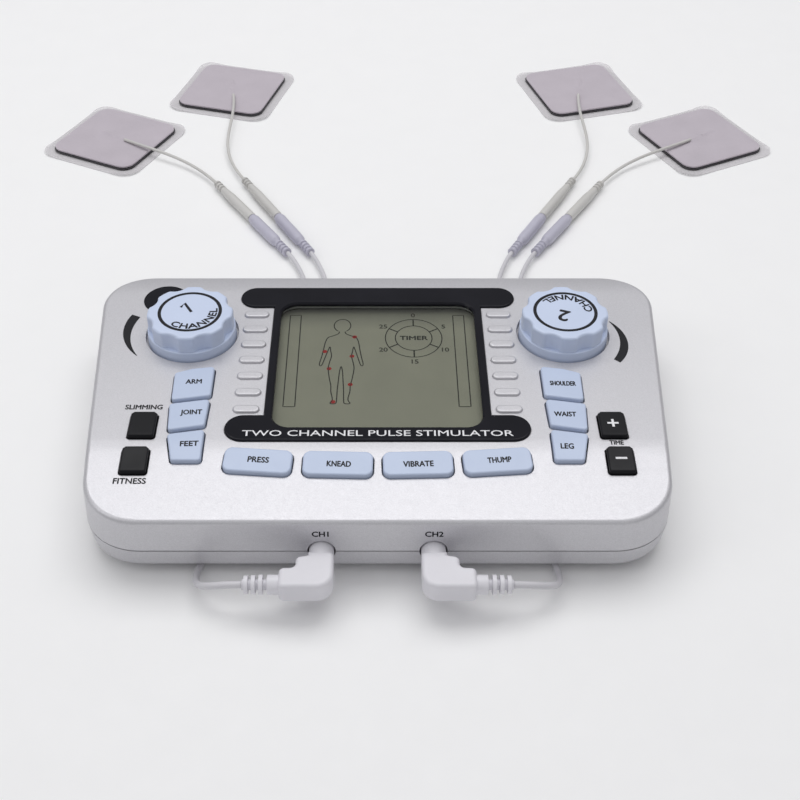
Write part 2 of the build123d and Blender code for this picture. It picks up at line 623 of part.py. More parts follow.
# ================================================================= write every piece
def main():
    save("upper_case", upper_case())
    save("lower_case", lower_case())
    save("battery_door", battery_door())
    save("display_bezel", display_bezel())
    save("display_window", display_window())
    save("lcd_panel", lcd_panel())
    save("lcd_holder", lcd_holder())
    save("indicator_window", indicator_window())
    for name, outline in KEY_OUTLINES.items():
        save(name, key_cap(outline))
    save_group("tact_switches", tact_switches())
    save("main_board", main_board())
    save_group("pulse_transformers", pulse_transformers())
    save("buzzer", buzzer())
    save_group("potentiometers", [potentiometer(x) for x in (-KNOB_X, KNOB_X)])
    save_group("output_jacks", [output_jack(x) for x in (-JACK_X, JACK_X)])
    save_group("aaa_cells", aaa_cells())
    save_group("battery_contacts", battery_contacts())
    save_group("case_screws", [case_screw(x, y) for x, y in mirrored(SCREW_SPOTS)])
    save_group("rubber_feet", [rubber_foot(x, y) for x, y in mirrored(FOOT_SPOTS)])
    for number, side in ((1, -1), (2, 1)):
        save(f"knob_{number}", knob(side * KNOB_X))
        save(f"pot_shaft_{number}", pot_shaft(side * KNOB_X))
        save(f"plug_{number}", plug_body(side))
        save(f"lead_{number}", lead_cable(side))
        save_group(f"lead_connectors_{number}", [lead_connector(side, name) for name in PAIR])
        save_group(f"metal_pins_{number}",
                   [plug_pin(side)] + [connector_pin(side, name) for name in PAIR])
        for name in PAIR:
            save(f"pad_lead_{number}{name}", pad_lead(side, name))
            save(f"pad_fabric_{number}{name}", pad_layer(side, name, PAD_SIDE, PAD_R, FABRIC_Z))
            save(f"pad_gel_{number}{name}", pad_layer(side, name, PAD_SIDE + 0.8, PAD_R, GEL_Z))
            save(f"pad_liner_{number}{name}", pad_layer(side, name, LINER_SIDE, LINER_R, LINER_Z))


main()
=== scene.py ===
"""A two-channel TENS unit with its plugs, leads and electrode pads: looks, light and camera."""
import bpy
import json
import math
from mathutils import Matrix, Vector, noise
from mathutils.bvhtree import BVHTree


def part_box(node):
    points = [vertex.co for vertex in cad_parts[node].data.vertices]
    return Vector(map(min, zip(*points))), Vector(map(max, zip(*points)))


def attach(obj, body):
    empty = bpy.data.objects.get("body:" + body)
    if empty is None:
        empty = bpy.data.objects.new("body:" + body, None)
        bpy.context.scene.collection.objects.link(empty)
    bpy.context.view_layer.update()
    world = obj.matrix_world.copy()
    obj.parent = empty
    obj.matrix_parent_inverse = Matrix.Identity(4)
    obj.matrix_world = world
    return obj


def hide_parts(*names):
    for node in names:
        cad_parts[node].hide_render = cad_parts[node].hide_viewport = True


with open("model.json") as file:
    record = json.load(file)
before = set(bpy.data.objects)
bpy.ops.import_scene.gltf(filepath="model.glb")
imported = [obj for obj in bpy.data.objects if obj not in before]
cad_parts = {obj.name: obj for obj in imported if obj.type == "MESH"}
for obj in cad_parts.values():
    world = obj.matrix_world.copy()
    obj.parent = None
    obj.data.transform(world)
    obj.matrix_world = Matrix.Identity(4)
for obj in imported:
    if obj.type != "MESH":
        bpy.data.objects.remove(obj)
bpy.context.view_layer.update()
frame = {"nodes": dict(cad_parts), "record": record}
NODES = frame["nodes"]
MM = 0.001


def middle_of(node):
    low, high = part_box(node)
    return (low + high) / 2


# ------------------------------------------------------------------ places read from the frame
BEZEL_LOW, BEZEL_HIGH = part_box("display_bezel")
BEZEL_PROUD = 0.7 * MM              # of the case top
TOP_Z = BEZEL_HIGH.z - BEZEL_PROUD
PANE_FRONT_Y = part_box("display_window")[0].y
LCD_BACK_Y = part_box("lcd_panel")[1].y
KNOB_CENTRE = {n: middle_of(f"knob_{n}") for n in (1, 2)}
PADS = [f"{n}{k}" for n in (1, 2) for k in "ab"]

# ------------------------------------------------------------------ printed artwork
PRINT_LIFT = 0.03 * MM              # thickness of a printed film
LEVEL_STEP = 0.004 * MM             # between overlapping strokes of one print
LABEL_HEIGHT = 2.0 * MM
TIME_LABEL_HEIGHT = 1.7 * MM
SIGN_REACH, SIGN_WIDTH = 1.7 * MM, 0.75 * MM        # the plus and minus signs
KNOB_RING_R, KNOB_RING_WIDTH = 9.9 * MM, 1.1 * MM
KNOB_WORD_R = 7.7 * MM
KNOB_DIGIT_SHIFT = 2.3 * MM
KNOB_REST_TURN = {1: 30.0, 2: 160.0}        # degrees
KNOB_SCALES = {                 # angles of the thin tip and the wide end in degrees, inner and outer radii
    1: ((215, 155), (20.3 * MM, 20.3 * MM), (20.5 * MM, 23.6 * MM)),
    2: ((21, -42), (17.2 * MM, 20.2 * MM), (17.5 * MM, 22.7 * MM)),
}
PORT_X, PORT_LABEL_Z = 16.2 * MM, 17.4 * MM

# ------------------------------------------------------------------ display layout
SEGMENT_WIDTH = 0.36 * MM
LEVEL_BARS_X = ((-29.6 * MM, -25.9 * MM), (25.5 * MM, 29.2 * MM))
LEVEL_BARS_Y = (-6.0 * MM, 40.5 * MM)
FIGURE_X, FIGURE_FOOT_Y = -11.8 * MM, -5.0 * MM
FIGURE_HEIGHT, FIGURE_SPREAD = 43.5 * MM, 0.64
HEAD_MIDDLE, HEAD_ACROSS, HEAD_UP = 0.915, 0.064, 0.078         # shares of the figure's height
TREATED_SPOTS = ((0.15, 0.775), (-0.20, 0.60), (0.122, 0.545), (-0.14, 0.40), (0.11, 0.22), (-0.08, 0.03))
TREATED_SPOT_R = 0.8 * MM
TIMER_CENTRE = (12.0 * MM, 28.2 * MM)
TIMER_R, TIMER_INNER_R = 9.4 * MM, 6.1 * MM
TIMER_SQUASH = 1.06                 # height over width
TIMER_SECTORS, MINUTES_PER_SECTOR = 6, 5
MINUTES_ACROSS, MINUTES_UP = 1.24 * TIMER_R, 1.30 * TIMER_R


# ================================================================== materials
class Shader:
    """A Principled material with short calls for the node chains used here."""

    def __init__(self, name, color, roughness, metallic=0.0, coat=0.0, specular=0.5):
        self.material = bpy.data.materials.new(name)
        self.material.use_nodes = True
        self.nodes = self.material.node_tree.nodes
        self.links = self.material.node_tree.links
        self.bsdf = self.nodes["Principled BSDF"]
        self.bsdf.inputs["Base Color"].default_value = (*color, 1)
        self.bsdf.inputs["Roughness"].default_value = roughness
        self.bsdf.inputs["Metallic"].default_value = metallic
        self.bsdf.inputs["Coat Weight"].default_value = coat
        self.bsdf.inputs["Specular IOR Level"].default_value = specular
        self.normal = None

    def round_edges(self, radius=0.25 * MM):
        """Lets sharp edges catch the light as if they had a small radius."""
        made = self.node("ShaderNodeBevel", samples=4, Radius=radius)
        self.normal = made.outputs["Normal"]
        self.links.new(self.normal, self.bsdf.inputs["Normal"])

    def node(self, kind, **values):
        made = self.nodes.new(kind)
        for key, value in values.items():
            if key in made.inputs:
                made.inputs[key].default_value = value
            else:
                setattr(made, key, value)
        return made

    def place(self):
        return self.node("ShaderNodeTexCoord").outputs["Object"]

    def noise(self, scale, detail=2.0, vector=None):
        """Soft noise, 0 to 1; scale is in features per metre."""
        made = self.node("ShaderNodeTexNoise", Scale=scale, Detail=detail)
        self.links.new(vector or self.place(), made.inputs["Vector"])
        return made.outputs["Fac"]

    def cells(self, scale, output="Color", vector=None):
        made = self.node("ShaderNodeTexVoronoi", Scale=scale)
        self.links.new(vector or self.place(), made.inputs["Vector"])
        return made.outputs[output]

    def remap(self, value, low, high, from_low=0.3, from_high=0.7):
        made = self.node("ShaderNodeMapRange")
        made.inputs["From Min"].default_value = from_low
        made.inputs["From Max"].default_value = from_high
        made.inputs["To Min"].default_value = low
        made.inputs["To Max"].default_value = high
        self.links.new(value, made.inputs["Value"])
        return made.outputs["Result"]

    def mix(self, factor, color_a, color_b):
        made = self.node("ShaderNodeMix", data_type="RGBA")
        for index, color in ((6, color_a), (7, color_b)):
            if isinstance(color, tuple):
                made.inputs[index].default_value = (*color, 1)
            else:
                self.links.new(color, made.inputs[index])
        self.links.new(factor, made.inputs["Factor"])
        return made.outputs[2]

    def drive(self, socket, value):
        self.links.new(value, self.bsdf.inputs[socket])

    def add_bump(self, value, depth):
        """Adds relief of the given depth in metres; several calls stack."""
        made = self.node("ShaderNodeBump", Strength=1.0, Distance=depth)
        self.links.new(value, made.inputs["Height"])
        if self.normal:
            self.links.new(self.normal, made.inputs["Normal"])
        self.normal = made.outputs["Normal"]
        self.links.new(self.normal, self.bsdf.inputs["Normal"])


def shade(color, factor):
    return tuple(min(1.0, c * factor) for c in color)


def moulded(name, color, roughness, variation=0.06, grain=6000.0, relief=0.004 * MM,
            coat=0.0, specular=0.5):
    """Injection-moulded plastic: faint colour drift, fine grain, uneven gloss."""
    look = Shader(name, color, roughness, coat=coat, specular=specular)
    look.round_edges()
    drift = look.remap(look.noise(60.0, 3.0), 0.0, 1.0)
    look.drive("Base Color", look.mix(drift, shade(color, 1 - variation), shade(color, 1 + variation)))
    look.drive("Roughness", look.remap(look.noise(180.0, 4.0), roughness * 0.85, roughness * 1.15))
    look.add_bump(look.noise(grain, 2.0), relief)
    return look


def silver_paint():
    """Fine-flake silver paint: tiny cells of different brightness and tilt under a satin lacquer."""
    color = (0.60, 0.595, 0.62)
    look = Shader("silver_paint", color, 0.42, metallic=0.55)
    look.round_edges()
    flakes = look.cells(5200.0)
    value = look.node("ShaderNodeSeparateColor")
    look.links.new(flakes, value.inputs["Color"])
    tone = look.remap(value.outputs["Red"], 0.0, 1.0, 0.0, 1.0)
    look.drive("Base Color", look.mix(tone, shade(color, 0.93), shade(color, 1.05)))
    look.drive("Roughness", look.remap(value.outputs["Green"], 0.34, 0.5, 0.0, 1.0))
    look.add_bump(look.noise(900.0, 3.0), 0.008 * MM)
    look.add_bump(value.outputs["Blue"], 0.0035 * MM)
    return look


def gloss_black():
    color = (0.010, 0.010, 0.014)
    look = moulded("gloss_black", color, 0.10, variation=0.2, grain=1500.0, relief=0.001 * MM, coat=0.06,
                   specular=0.12)
    look.bsdf.inputs["Coat Roughness"].default_value = 0.04
    return look


def lcd_face():
    """Olive reflective liquid crystal, with painted shade from the window's recess wall darkening it towards
    its back edge.
    """
    # the second colour is painted shade, the darkness the recess wall casts near the back edge
    olive, recess_shade_color = (0.245, 0.240, 0.190), (0.115, 0.116, 0.098)
    look = Shader("lcd_face", olive, 0.35)
    split = look.node("ShaderNodeSeparateXYZ")
    look.links.new(look.place(), split.inputs["Vector"])
    # painted shade: over its last 12 mm towards the back edge the crystal turns to the shade colour, as if
    # shaded by the recess wall
    recess_shade_mask = look.remap(split.outputs["Y"], 0.0, 1.0, LCD_BACK_Y - 12 * MM, LCD_BACK_Y - 1 * MM)
    cloud = look.remap(look.noise(70.0, 2.0), 0.0, 1.0)
    base = look.mix(cloud, shade(olive, 0.95), shade(olive, 1.05))
    look.drive("Base Color", look.mix(recess_shade_mask, base, recess_shade_color))
    look.drive("Roughness", look.remap(look.noise(400.0), 0.30, 0.40))
    return look


def clear_pane():
    """Thin clear acrylic: see-through, with a faint tint and a soft reflection."""
    look = Shader("clear_pane", (0.9, 0.92, 0.9), 0.05)
    clear = look.node("ShaderNodeBsdfTransparent")
    clear.inputs["Color"].default_value = (0.93, 0.94, 0.92, 1)
    gloss = look.node("ShaderNodeBsdfGlossy")
    look.links.new(look.remap(look.noise(300.0), 0.03, 0.08), gloss.inputs["Roughness"])
    fresnel = look.node("ShaderNodeFresnel", IOR=1.45)
    outside = look.remap(look.node("ShaderNodeNewGeometry").outputs["Backfacing"], 1.0, 0.0, 0.0, 1.0)
    share = look.node("ShaderNodeMath", operation="MULTIPLY")
    look.links.new(fresnel.outputs["Fac"], share.inputs[0])
    look.links.new(outside, share.inputs[1])
    mixed = look.node("ShaderNodeMixShader")
    look.links.new(share.outputs["Value"], mixed.inputs["Fac"])
    look.links.new(clear.outputs["BSDF"], mixed.inputs[1])
    look.links.new(gloss.outputs["BSDF"], mixed.inputs[2])
    look.links.new(mixed.outputs["Shader"], look.nodes["Material Output"].inputs["Surface"])
    return look


def pad_cloth():
    """Non-woven backing cloth: a fine weave of crossing threads with a lilac-grey tone."""
    color = (0.545, 0.495, 0.545)
    look = Shader("pad_cloth", color, 0.9, specular=0.2)
    threads = []
    for axis in ("X", "Y"):
        wave = look.node("ShaderNodeTexWave", bands_direction=axis, wave_profile="SIN")
        wave.inputs["Scale"].default_value = 620.0
        wave.inputs["Distortion"].default_value = 1.6
        wave.inputs["Detail"].default_value = 2.0
        wave.inputs["Detail Scale"].default_value = 2.0
        look.links.new(look.place(), wave.inputs["Vector"])
        threads.append(wave.outputs["Fac"])
    weave = look.node("ShaderNodeMath", operation="MULTIPLY")
    look.links.new(threads[0], weave.inputs[0])
    look.links.new(threads[1], weave.inputs[1])
    tone = look.remap(weave.outputs["Value"], 0.0, 1.0, 0.0, 0.8)
    woven = look.mix(tone, shade(color, 0.86), shade(color, 1.10))
    drift = look.remap(look.noise(90.0, 4.0), 0.0, 1.0)
    look.drive("Base Color", look.mix(drift, woven, color))
    look.add_bump(weave.outputs["Value"], 0.05 * MM)
    look.add_bump(look.noise(500.0, 3.0), 0.03 * MM)
    look.bsdf.inputs["Sheen Weight"].default_value = 0.35
    look.bsdf.inputs["Sheen Roughness"].default_value = 0.5
    return look


def liner_film():
    """Clear release film, slightly milky."""
    look = Shader("liner_film", (0.80, 0.78, 0.80), 0.18)
    look.bsdf.inputs["Alpha"].default_value = 0.55
    look.drive("Roughness", look.remap(look.noise(150.0, 3.0), 0.12, 0.26))
    look.add_bump(look.noise(60.0, 2.0), 0.15 * MM)
    return look


def metal(name, color, roughness):
    look = Shader(name, color, roughness, metallic=1.0)
    look.drive("Roughness", look.remap(look.noise(900.0, 3.0), roughness * 0.7, roughness * 1.4))
    look.add_bump(look.noise(4000.0, 2.0), 0.002 * MM)
    return look


def ink(name, color, roughness=0.45):
    """Screen-printed ink with a slightly uneven film."""
    look = Shader(name, color, roughness, specular=0.2)
    tone = look.remap(look.noise(2500.0, 3.0), 0.0, 1.0)
    look.drive("Base Color", look.mix(tone, shade(color, 0.9), shade(color, 1.1)))
    look.add_bump(look.noise(8000.0), 0.002 * MM)
    return look


def make_materials():
    key_blue = (0.53, 0.61, 0.78)
    knob_blue = (0.60, 0.68, 0.86)
    looks = {
        "silver_case": silver_paint(),
        "gloss_black": gloss_black(),
        "clear_window": clear_pane(),
        "lcd_glass": lcd_face(),
        "white_plastic": moulded("white_plastic", (0.75, 0.75, 0.73), 0.5),
        "black_plastic": moulded("black_plastic", (0.03, 0.03, 0.032), 0.5),
        "board_green": moulded("board_green", (0.03, 0.16, 0.07), 0.35, variation=0.2, grain=2000.0),
        "board_metal": metal("board_metal", (0.6, 0.6, 0.6), 0.35),
        "cell_wrap": moulded("cell_wrap", (0.10, 0.15, 0.22), 0.3),
        "contact_metal": metal("contact_metal", (0.75, 0.73, 0.68), 0.25),
        "screw_steel": metal("screw_steel", (0.45, 0.45, 0.47), 0.3),
        "foot_rubber": moulded("foot_rubber", (0.09, 0.09, 0.095), 0.75, grain=3000.0, relief=0.02 * MM),
        "blue_key": moulded("blue_key", key_blue, 0.36, variation=0.02, relief=0.003 * MM),
        "black_key": moulded("black_key", (0.010, 0.010, 0.012), 0.34, variation=0.1, specular=0.16),
        "blue_knob": moulded("blue_knob", knob_blue, 0.38, variation=0.02, relief=0.003 * MM),
        "plug_plastic": moulded("plug_plastic", (0.74, 0.73, 0.77), 0.42, variation=0.03),
        "cable_sheath": moulded("cable_sheath", (0.62, 0.61, 0.64), 0.4, variation=0.04),
        "connector_plastic": moulded("connector_plastic", (0.50, 0.49, 0.58), 0.42, variation=0.04),
        "pad_wire": moulded("pad_wire", (0.60, 0.59, 0.57), 0.42, variation=0.04),
        "pad_fabric": pad_cloth(),
        "pad_gel": moulded("pad_gel", (0.035, 0.033, 0.038), 0.28, variation=0.2, grain=900.0),
        "pad_liner": liner_film(),
        "ink_black": ink("ink_black", (0.012, 0.012, 0.015)),
        "ink_white": ink("ink_white", (0.80, 0.80, 0.82)),
        "lcd_segment": ink("lcd_segment", (0.022, 0.022, 0.018), 0.5),
        "lcd_faint": ink("lcd_faint", (0.045, 0.045, 0.036), 0.5),
        "lcd_red": ink("lcd_red", (0.34, 0.012, 0.012), 0.5),
    }
    return {slot: look.material for slot, look in looks.items()}


LOOKS = make_materials()


def paint(piece, slot):
    """Gives a piece the finish of the given slot; printed inks have no such slot in the record."""
    piece.data.materials.clear()
    piece.data.materials.append(LOOKS[slot])


def smooth(piece, degrees=30.0):
    mesh = piece.data
    mesh.polygons.foreach_set("use_smooth", [True] * len(mesh.polygons))
    mesh.set_sharp_from_angle(angle=math.radians(degrees))


def dress_frame():
    """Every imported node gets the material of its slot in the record."""
    for entry in frame["record"]["subparts"]:
        node = NODES[entry["node"]]
        paint(node, entry["material_slot"])
        smooth(node)


# ================================================================== mesh helpers
def new_piece(name, points, faces, body, slot):
    mesh = bpy.data.meshes.new(name)
    mesh.from_pydata([tuple(p) for p in points], [], faces)
    mesh.validate()
    mesh.update()
    piece = bpy.data.objects.new(name, mesh)
    bpy.context.scene.collection.objects.link(piece)
    paint(piece, slot)
    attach(piece, body)
    return piece


class Drawing:
    """Flat artwork in a plane, collected as points and faces, then laid onto a surface."""

    def __init__(self):
        self.points = []
        self.faces = []

    def add(self, points, faces, level=0):
        """Adds flat faces; overlapping ones get different levels so that they never coincide."""
        start = len(self.points)
        self.points += [(p[0], p[1], level * LEVEL_STEP) for p in points]
        self.faces += [tuple(start + i for i in face) for face in faces]

    def stroke(self, line, width, closed=False):
        """Line of even width through the given points."""
        count = len(line)
        sides = []
        for i, (x, y) in enumerate(line):
            before = line[i - 1] if (i > 0 or closed) else line[i]
            after = line[(i + 1) % count] if (i < count - 1 or closed) else line[i]
            dx, dy = after[0] - before[0], after[1] - before[1]
            length = math.hypot(dx, dy) or 1.0
            nx, ny = -dy / length * width / 2, dx / length * width / 2
            sides += [(x + nx, y + ny), (x - nx, y - ny)]
        spans = range(count if closed else count - 1)
        faces = [(2 * i, 2 * i + 1, (2 * i + 3) % (2 * count), (2 * i + 2) % (2 * count)) for i in spans]
        self.add(sides, faces)

    def ring(self, centre, radius, width, squash=1.0, steps=64):
        line = [(centre[0] + radius * math.cos(a), centre[1] + squash * radius * math.sin(a))
                for a in (2 * math.pi * i / steps for i in range(steps))]
        self.stroke(line, width, closed=True)

    def frame_lines(self, x_range, y_range, width):
        """Rectangle drawn with four lines."""
        for x in x_range:
            self.stroke([(x, y_range[0]), (x, y_range[1])], width)
        inner = (x_range[0] + width / 2, x_range[1] - width / 2)
        for y in y_range:
            self.stroke([(inner[0], y), (inner[1], y)], width)

    def disc(self, centre, radius, steps=20):
        rim = [(centre[0] + radius * math.cos(a), centre[1] + radius * math.sin(a))
               for a in (2 * math.pi * i / steps for i in range(steps))]
        self.add(rim, [tuple(range(steps))])

    def words(self, text, centre, height, turn=0.0, stretch=1.0, bend=None, weight=0.09 * MM):
        """Text with the given capital height in metres; bend=(radius, start) lays it round a circle."""
        curve = bpy.data.curves.new("words", "FONT")
        curve.body = text
        curve.align_x = "CENTER"
        curve.resolution_u = 3
        holder = bpy.data.objects.new("words", curve)
        bpy.context.scene.collection.objects.link(holder)
        bpy.context.view_layer.update()
        mesh = bpy.data.meshes.new_from_object(holder)
        bpy.data.objects.remove(holder)
        scale = height / CAPITAL
        spin = Matrix.Rotation(math.radians(turn), 2)
        laid = []
        for vertex in mesh.vertices:
            x, y = vertex.co.x * scale * stretch, (vertex.co.y - CAPITAL / 2) * scale
            if bend:
                angle = bend[1] + x / bend[0]
                reach = bend[0] - y
                x, y = reach * math.sin(angle), -reach * math.cos(angle)
            point = spin @ Vector((x, y))
            laid.append((point.x + centre[0], point.y + centre[1]))
        faces = [tuple(p.vertices) for p in mesh.polygons]
        for level, step in enumerate(BOLD_STEPS):
            self.add([(x + step[0] * weight, y + step[1] * weight) for x, y in laid], faces, level)
        bpy.data.meshes.remove(mesh)

    def lay_on(self, name, node, body, slot, start=None, direction=(0, 0, -1), axes=((1, 0, 0), (0, 1, 0))):
        """Projects the artwork onto a node along direction and makes it a piece of that body."""
        mesh = NODES[node].data
        tree = BVHTree.FromPolygons([v.co for v in mesh.vertices], [p.vertices for p in mesh.polygons])
        aim, across, up = Vector(direction), Vector(axes[0]), Vector(axes[1])
        origin = Vector(start) if start else Vector((0, 0, 0.1))
        points = []
        for x, y, lift in self.points:
            hit = tree.ray_cast(origin + across * x + up * y, aim)[0]
            if hit is None:
                raise RuntimeError(f"artwork {name} misses {node}")
            points.append(hit - aim * (PRINT_LIFT + lift))
        return new_piece(name, points, self.faces, body, slot)


def capital_height():
    """Height of the letter H of the built-in font at size 1."""
    curve = bpy.data.curves.new("probe", "FONT")
    curve.body = "H"
    holder = bpy.data.objects.new("probe", curve)
    bpy.context.scene.collection.objects.link(holder)
    bpy.context.view_layer.update()
    height = holder.dimensions.y
    bpy.data.objects.remove(holder)
    return height


CAPITAL = capital_height()
BOLD_STEPS = ((-1, 0), (1, 0), (0, 1), (0, -1))


def curve_through(points, closed=True, steps=6):
    """Smooth line through points (Catmull-Rom)."""
    count = len(points)
    line = []
    for i in range(count if closed else count - 1):
        a = Vector(points[i - 1] if (i > 0 or closed) else points[i])
        b = Vector(points[i])
        c = Vector(points[(i + 1) % count])
        d = Vector(points[(i + 2) % count] if (i + 2 < count or closed) else points[i + 1])
        for s in range(steps):
            t = s / steps
            square, cube = 2 * a - 5 * b + 4 * c - d, 3 * b - a - 3 * c + d
            line.append(tuple(0.5 * (2 * b + (c - a) * t + square * t * t + cube * t ** 3)))
    return line if closed else line + [tuple(points[-1])]


# ================================================================== printing
KEY_WORDS = {                   # text, shift from the middle of the key in mm, turn in degrees, stretch
    "key_arm": ("ARM", (0.4, 0.5), 2, 0.85),
    "key_joint": ("JOINT", (1.2, 0.8), 2, 0.8),
    "key_feet": ("FEET", (1.5, 0.1), 2, 0.93),
    "key_shoulder": ("SHOULDER", (0.0, -0.4), -2, 0.54),
    "key_waist": ("WAIST", (-0.8, -0.1), -2, 0.75),
    "key_leg": ("LEG", (-1.3, -0.9), -2, 0.82),
    "key_press": ("PRESS", (0.2, 0.0), -4, 0.87),
    "key_knead": ("KNEAD", (0.3, -0.6), -2, 0.74),
    "key_vibrate": ("VIBRATE", (0.1, -0.6), 2, 0.8),
    "key_thump": ("THUMP", (0.5, -0.1), 4, 0.72),
}


def print_keys():
    for node, (text, shift, turn, stretch) in KEY_WORDS.items():
        middle = middle_of(node)
        art = Drawing()
        art.words(text, (middle.x + shift[0] * MM, middle.y + shift[1] * MM), LABEL_HEIGHT, turn, stretch)
        art.lay_on("print_" + node[4:], node, node, "ink_black")
    for node, upright in (("key_plus", True), ("key_minus", False)):
        middle = middle_of(node)
        art = Drawing()
        art.stroke([(middle.x - SIGN_REACH, middle.y), (middle.x + SIGN_REACH, middle.y)], SIGN_WIDTH)
        if upright:
            art.stroke([(middle.x, middle.y - SIGN_REACH), (middle.x, middle.y - SIGN_WIDTH / 2)], SIGN_WIDTH)
            art.stroke([(middle.x, middle.y + SIGN_WIDTH / 2), (middle.x, middle.y + SIGN_REACH)], SIGN_WIDTH)
        art.lay_on("print_" + node[4:], node, node, "ink_white")


def crescent(art, centre, angles, inner, outer, steps=24):
    """Wedge-shaped scale round a knob; each pair holds its value at the thin tip and at the wide end."""
    points = []
    for i in range(steps + 1):
        t = i / steps
        angle = math.radians(angles[0] + (angles[1] - angles[0]) * t)
        near = inner[0] + (inner[1] - inner[0]) * t
        far = outer[0] + (outer[1] - outer[0]) * math.sin(t * math.pi / 2)
        points += [(centre.x + r * math.cos(angle), centre.y + r * math.sin(angle)) for r in (near, far)]
    art.add(points, [(2 * i, 2 * i + 1, 2 * i + 3, 2 * i + 2) for i in range(steps)])


def print_case():
    art = Drawing()
    slim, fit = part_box("key_slimming"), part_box("key_fitness")
    plus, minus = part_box("key_plus"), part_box("key_minus")
    art.words("SLIMMING", (slim[0].x + 4.2 * MM, slim[1].y + 3.4 * MM), LABEL_HEIGHT, 0, 0.88)
    art.words("FITNESS", (fit[0].x + 4.4 * MM, fit[0].y - 2.4 * MM), LABEL_HEIGHT, 0, 0.95)
    art.words("TIME", ((plus[0].x + plus[1].x) / 2 + 0.3 * MM, (plus[0].y + minus[1].y) / 2 + 0.5 * MM),
              TIME_LABEL_HEIGHT, 0, 0.8)
    for number, scale in KNOB_SCALES.items():
        crescent(art, KNOB_CENTRE[number], *scale)
    art.lay_on("print_case", "upper_case", "case", "ink_black")
    front = Drawing()
    for number, side in ((1, -1), (2, 1)):
        front.words(f"CH{number}", (side * PORT_X, PORT_LABEL_Z), 0.95 * LABEL_HEIGHT)
    front.lay_on("print_ports", "upper_case", "case", "ink_black", start=(0, -0.2, 0),
                 direction=(0, 1, 0), axes=((1, 0, 0), (0, 0, 1)))


def print_bezel():
    art = Drawing()
    bar_y = (BEZEL_LOW.y + PANE_FRONT_Y) / 2
    art.words("TWO CHANNEL PULSE STIMULATOR", (0, bar_y + 0.2 * MM), 1.2 * LABEL_HEIGHT, 0, 1.40,
              weight=0.03 * MM)
    art.lay_on("print_bezel", "display_bezel", "case", "ink_white")


def print_knobs():
    """A ring on each knob, with its number in the middle and the word CHANNEL round below it."""
    for number, centre in KNOB_CENTRE.items():
        art = Drawing()
        spot = (centre.x, centre.y)
        turn = KNOB_REST_TURN[number]
        art.ring(spot, KNOB_RING_R, KNOB_RING_WIDTH, steps=96)
        up = math.radians(turn + 90)
        digit = (spot[0] + KNOB_DIGIT_SHIFT * math.cos(up), spot[1] + KNOB_DIGIT_SHIFT * math.sin(up))
        if number == 1:
            flagged_one(art, digit, 2.8 * LABEL_HEIGHT, turn)
        else:
            art.words(str(number), digit, 2.7 * LABEL_HEIGHT, turn, weight=0.2 * MM)
        art.words("CHANNEL", spot, 1.25 * LABEL_HEIGHT, turn, 1.12, bend=(KNOB_WORD_R, 0.0), weight=0.12 * MM)
        art.lay_on(f"print_knob_{number}", f"knob_{number}", f"knob_{number}", "ink_black")


def flagged_one(art, centre, height, turn):
    """The figure 1 as an upright with a short flag."""
    spin = Matrix.Rotation(math.radians(turn), 2)
    line = [(-0.30, 0.22), (0.06, 0.46), (0.06, -0.5)]
    placed = [spin @ Vector((x * height, y * height)) for x, y in line]
    art.stroke([(centre[0] + p.x, centre[1] + p.y) for p in placed], 0.17 * height)


# ================================================================== display artwork
def figure_outline():
    """Right half of a plain standing pictogram, from the neck down to the inner ankle; height 1."""
    return [(0.035, 0.842), (0.045, 0.815), (0.105, 0.790), (0.170, 0.765), (0.200, 0.70), (0.215, 0.62),
            (0.235, 0.53), (0.255, 0.455), (0.243, 0.432), (0.222, 0.450), (0.188, 0.54), (0.158, 0.62),
            (0.140, 0.655), (0.128, 0.60), (0.118, 0.545), (0.138, 0.47), (0.150, 0.40), (0.132, 0.29),
            (0.112, 0.21), (0.108, 0.14), (0.088, 0.055), (0.112, 0.012), (0.050, 0.012), (0.040, 0.06),
            (0.036, 0.16), (0.028, 0.25), (0.018, 0.36), (0.0, 0.425)]


def draw_figure(art, points):
    """Standing figure in outline, with a dot at each place of treatment."""
    def spot(x, y):
        return (FIGURE_X + x * FIGURE_HEIGHT * FIGURE_SPREAD, FIGURE_FOOT_Y + y * FIGURE_HEIGHT)

    half = figure_outline()
    whole = half + [(-x, y) for x, y in reversed(half[:-1])]
    art.stroke(curve_through([spot(x, y) for x, y in whole], closed=False, steps=5), SEGMENT_WIDTH)
    head = spot(0, HEAD_MIDDLE)
    across, up = HEAD_ACROSS * FIGURE_HEIGHT, HEAD_UP * FIGURE_HEIGHT
    sweep = [math.radians(-60 + 300 * i / 40) for i in range(41)]       # open at the neck
    art.stroke([(head[0] + across * math.cos(a), head[1] + up * math.sin(a)) for a in sweep], SEGMENT_WIDTH)
    for x, y in TREATED_SPOTS:
        points.disc(spot(x, y), TREATED_SPOT_R)


def draw_timer(art, numbers):
    """Ring of sectors with the minutes round it."""
    def spot(angle, across, up):
        return (TIMER_CENTRE[0] + across * math.cos(angle), TIMER_CENTRE[1] + up * math.sin(angle))

    for radius in (TIMER_R, TIMER_INNER_R):
        art.ring(TIMER_CENTRE, radius, SEGMENT_WIDTH, TIMER_SQUASH)
    for index in range(TIMER_SECTORS):
        angle = math.radians(90 - 360 / TIMER_SECTORS * index)
        ends = [spot(angle, radius, TIMER_SQUASH * radius) for radius in (TIMER_INNER_R, TIMER_R)]
        art.stroke(ends, SEGMENT_WIDTH * 1.4)
        label = str(MINUTES_PER_SECTOR * index)
        numbers.words(label, spot(angle, MINUTES_ACROSS, MINUTES_UP), LABEL_HEIGHT)
    art.words("TIMER", TIMER_CENTRE, LABEL_HEIGHT, 0, 1.15, weight=0.12 * MM)


